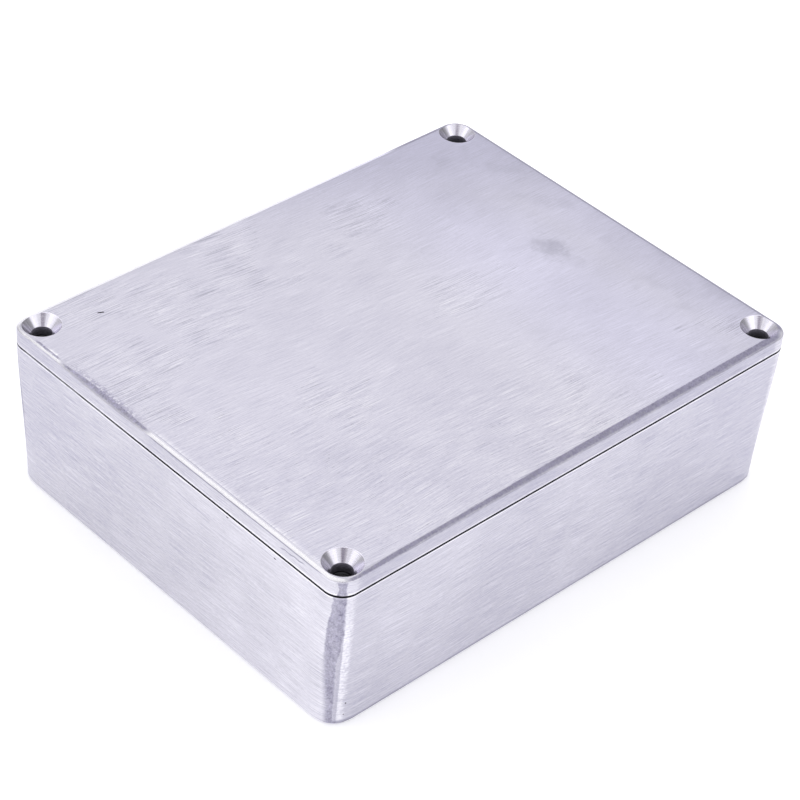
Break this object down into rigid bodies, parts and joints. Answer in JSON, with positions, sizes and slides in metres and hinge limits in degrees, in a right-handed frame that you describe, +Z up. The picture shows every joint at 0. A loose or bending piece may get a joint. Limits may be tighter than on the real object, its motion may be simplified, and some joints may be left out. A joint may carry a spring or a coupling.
{
  "type": "die cast aluminium box",
  "caption": "Rectangular die cast aluminium box with a drafted base, corner pillars and a flat bevelled lid with countersunk screw holes at its corners.",
  "frame": {"origin": "centre of the underside, at the surface that the box stands on", "axes": "+X along the long side, +Y along the short side, +Z up through the lid"},
  "size_m": [0.1194, 0.0954, 0.0372],
  "materials": {
    "base_casting": "bare die cast aluminium, sanded lengthwise outside and left as cast inside",
    "lid_casting": "bare die cast aluminium, sanded along its length, with turned countersinks"
  },
  "bodies": {
    "root": {"base": "base_casting", "lid": "lid_casting"}
  },
  "joints": []
}
